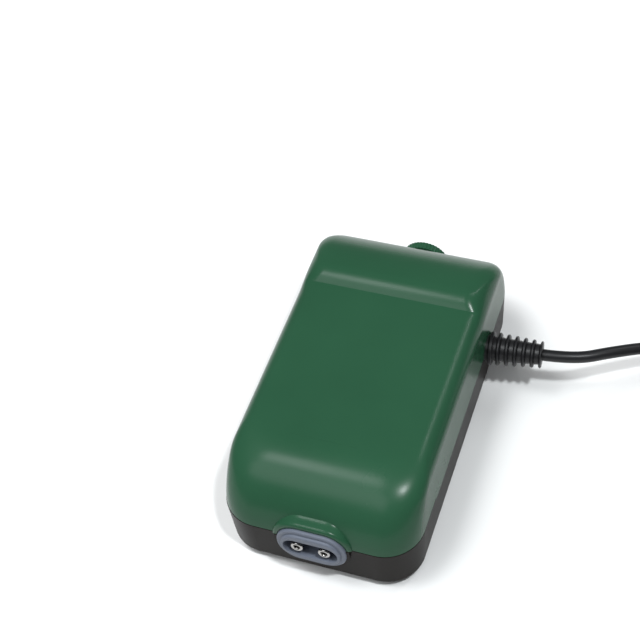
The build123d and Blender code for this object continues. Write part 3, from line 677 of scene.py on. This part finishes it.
finishes = {
    "cover_plastic": moulded_material(
        "cover_green_satin", green, 0.25, height=0.010, spread=0.05, specular=0.16),
    "base_plastic": moulded_material(
        "base_brown_black", (0.0125, 0.0104, 0.0092), 0.36, specular=0.05),
    "bezel_rubber": moulded_material("bezel_soft_grey", (0.10, 0.115, 0.15), 0.55),
    "nozzle_chrome": moulded_material(
        "nozzle_chrome", (0.38, 0.37, 0.36), 0.20, grain=500, height=0.003, spread=0.03,
        metallic=1.0),
    "knob_plastic": moulded_material(
        "knob_green_satin", green, 0.30, height=0.010, spread=0.05, specular=0.16),
    "steel": moulded_material(
        "zinc_plated_steel", (0.56, 0.56, 0.57), 0.32, grain=900, height=0.006, spread=0.06,
        metallic=1.0),
    "pot_case": moulded_material("dial_case_black", (0.05, 0.05, 0.055), 0.5),
    "circuit_board": moulded_material(
        "board_laminate", (0.33, 0.22, 0.10), 0.5, grain=700, height=0.01),
    "component_case": moulded_material(
        "component_resin", (0.30, 0.16, 0.03), 0.3, grain=600, height=0.01),
    "black_rubber": moulded_material(
        "black_rubber", (0.02, 0.02, 0.02), 0.7, grain=1800, height=0.03),
    "felt": moulded_material(
        "filter_felt", (0.75, 0.74, 0.70), 0.95, grain=1600, height=0.3, spread=0.12),
    "bobbin_plastic": moulded_material("bobbin_nylon", (0.70, 0.68, 0.62), 0.45),
    "copper_winding": banded_material(
        "copper_winding", (0.45, 0.12, 0.03), dark=(0.2, 0.05, 0.015), pitch=0.5, axis="Y",
        roughness=0.3, metallic=0.6),
    "core_steel": banded_material(
        "core_laminations", (0.2, 0.2, 0.21), dark=(0.1, 0.1, 0.105), pitch=0.5, axis="Z",
        roughness=0.4, metallic=0.8, height=0.04),
    "arm_plastic": moulded_material("arm_nylon_dark", (0.08, 0.08, 0.085), 0.45),
    "magnet": moulded_material(
        "ferrite_magnet", (0.06, 0.06, 0.065), 0.6, grain=900, height=0.03, spread=0.12,
        metallic=0.3),
    "silicone": moulded_material(
        "silicone", (0.60, 0.62, 0.60), 0.4, grain=900, height=0.01),
    "wire_insulation": moulded_material(
        "wire_insulation", (0.12, 0.05, 0.03), 0.4, grain=700, height=0.01),
    "cord_rubber": moulded_material("cord_black", cord_black, 0.38, grain=900, specular=0.3),
    "plug_plastic": moulded_material(
        "plug_black", cord_black, 0.42, grain=1200, height=0.03, specular=0.3),
    "pin_brass": moulded_material(
        "pin_nickel", (0.70, 0.68, 0.62), 0.22, grain=700, height=0.004, spread=0.04,
        metallic=1.0),
}


def paint_cad_nodes():
    """Gives every CAD node the procedural material of its slot in the record."""
    slot_of = {part["node"]: part["material_slot"] for part in frame["record"]["subparts"]
               if "node" in part and "material_slot" in part}
    for name, node in nodes.items():
        node.data.materials.clear()
        node.data.materials.append(finishes[slot_of[name]])


# --- stage, in metres ---------------------------------------------------------------------
def make_floor():
    """Plain pale floor."""
    bpy.ops.mesh.primitive_plane_add(size=12.0, location=(0, 0, 0))
    floor = bpy.context.object
    floor.name = "floor"
    pale = (0.74, 0.74, 0.74)
    material = moulded_material("floor_pale", pale, 0.8, grain=60, height=0.01, spread=0.005)
    floor.data.materials.append(material)


def aim(direction, target, distance, roll=0.0):
    """Placement of a light or camera looking at target from a direction."""
    place = Matrix.Translation(target + direction * distance)
    rotation = direction.to_track_quat("Z", "Y").to_matrix().to_4x4()
    return place @ rotation @ Matrix.Rotation(roll, 4, "Z")


def sky_direction(azimuth, elevation):
    """Unit vector; azimuth 0 is in front of the pump and grows towards its cord side."""
    a, e = radians(azimuth), radians(elevation)
    return Vector((sin(a) * cos(e), -cos(a) * cos(e), sin(e)))


softboxes = {
    "shoulder_band": dict(azimuth=-58, elevation=73, distance=1.3, width=0.30, height=0.30,
                          power=3.6),
    "front_soft": dict(azimuth=-25, elevation=53, distance=1.6, width=1.1, height=0.7, power=8.0),
    "corner_spark": dict(azimuth=58, elevation=66, distance=1.3, width=0.10, height=0.10,
                         power=11.0),
    "edge_strip": dict(azimuth=143, elevation=44, distance=1.3, width=0.05, height=0.75,
                       power=2.4),
    "left_fill": dict(azimuth=-85, elevation=64, distance=1.6, width=1.0, height=1.0, power=18.0,
                      mirrored=False),
}


def add_softbox(name, azimuth, elevation, distance, width, height, power, mirrored=True):
    """Area light pointed at the pump. A light that isn't mirrored is only a fill."""
    light = bpy.data.lights.new(name, "AREA")
    light.shape = "RECTANGLE"
    light.size = width
    light.size_y = height
    light.energy = power
    light.color = (0.95, 0.985, 1.0) if mirrored else (1.0, 1.0, 1.0)
    holder = bpy.data.objects.new(name, light)
    bpy.context.scene.collection.objects.link(holder)
    pump_middle = Vector((0, 0, 0.03))
    holder.matrix_world = aim(sky_direction(azimuth, elevation), pump_middle, distance)
    holder.visible_glossy = mirrored


def make_camera():
    """Camera in front of the pump, above it and to its right, slightly rolled."""
    direction = sky_direction(azimuth=25.5, elevation=50.1)
    target = Vector((-0.0325, 0.029, 0.023))
    camera = bpy.data.cameras.new("camera")
    camera.sensor_width = 36.0
    camera.lens = 81.4
    camera.clip_start = 0.05
    holder = bpy.data.objects.new("camera", camera)
    bpy.context.scene.collection.objects.link(holder)
    holder.matrix_world = aim(direction, target, distance=0.6175, roll=radians(-8.5))
    bpy.context.scene.camera = holder


def make_world():
    """White surroundings that look pale and light the pump only a little."""
    world = bpy.data.worlds.new("surroundings")
    world.use_nodes = True
    tree = world.node_tree
    lighting = tree.nodes["Background"]
    seen = tree.nodes.new("ShaderNodeBackground")
    for background, strength in ((lighting, 0.10), (seen, 0.85)):
        background.inputs["Color"].default_value = (1.0, 1.0, 1.0, 1.0)
        background.inputs["Strength"].default_value = strength
    path = tree.nodes.new("ShaderNodeLightPath")
    choice = tree.nodes.new("ShaderNodeMixShader")
    tree.links.new(path.outputs["Is Camera Ray"], choice.inputs["Fac"])
    tree.links.new(lighting.outputs["Background"], choice.inputs[1])
    tree.links.new(seen.outputs["Background"], choice.inputs[2])
    tree.links.new(choice.outputs["Shader"], tree.nodes["World Output"].inputs["Surface"])
    bpy.context.scene.world = world


# --- the whole scene ----------------------------------------------------------------------
paint_cad_nodes()
make_cord(finishes["cord_rubber"], make_strain_relief(finishes["cord_rubber"]))
make_cover(finishes["cover_plastic"])
for side, sign in (("left", -1), ("right", 1)):
    make_nozzle("nozzle_" + side, sign, finishes["nozzle_chrome"])
for side, sign in (("left", -1), ("right", 1)):
    make_diaphragm(side, finishes["black_rubber"])
make_floor()
make_world()
for name, settings in softboxes.items():
    add_softbox(name, **settings)
make_camera()
bpy.context.scene.view_settings.view_transform = "Standard"
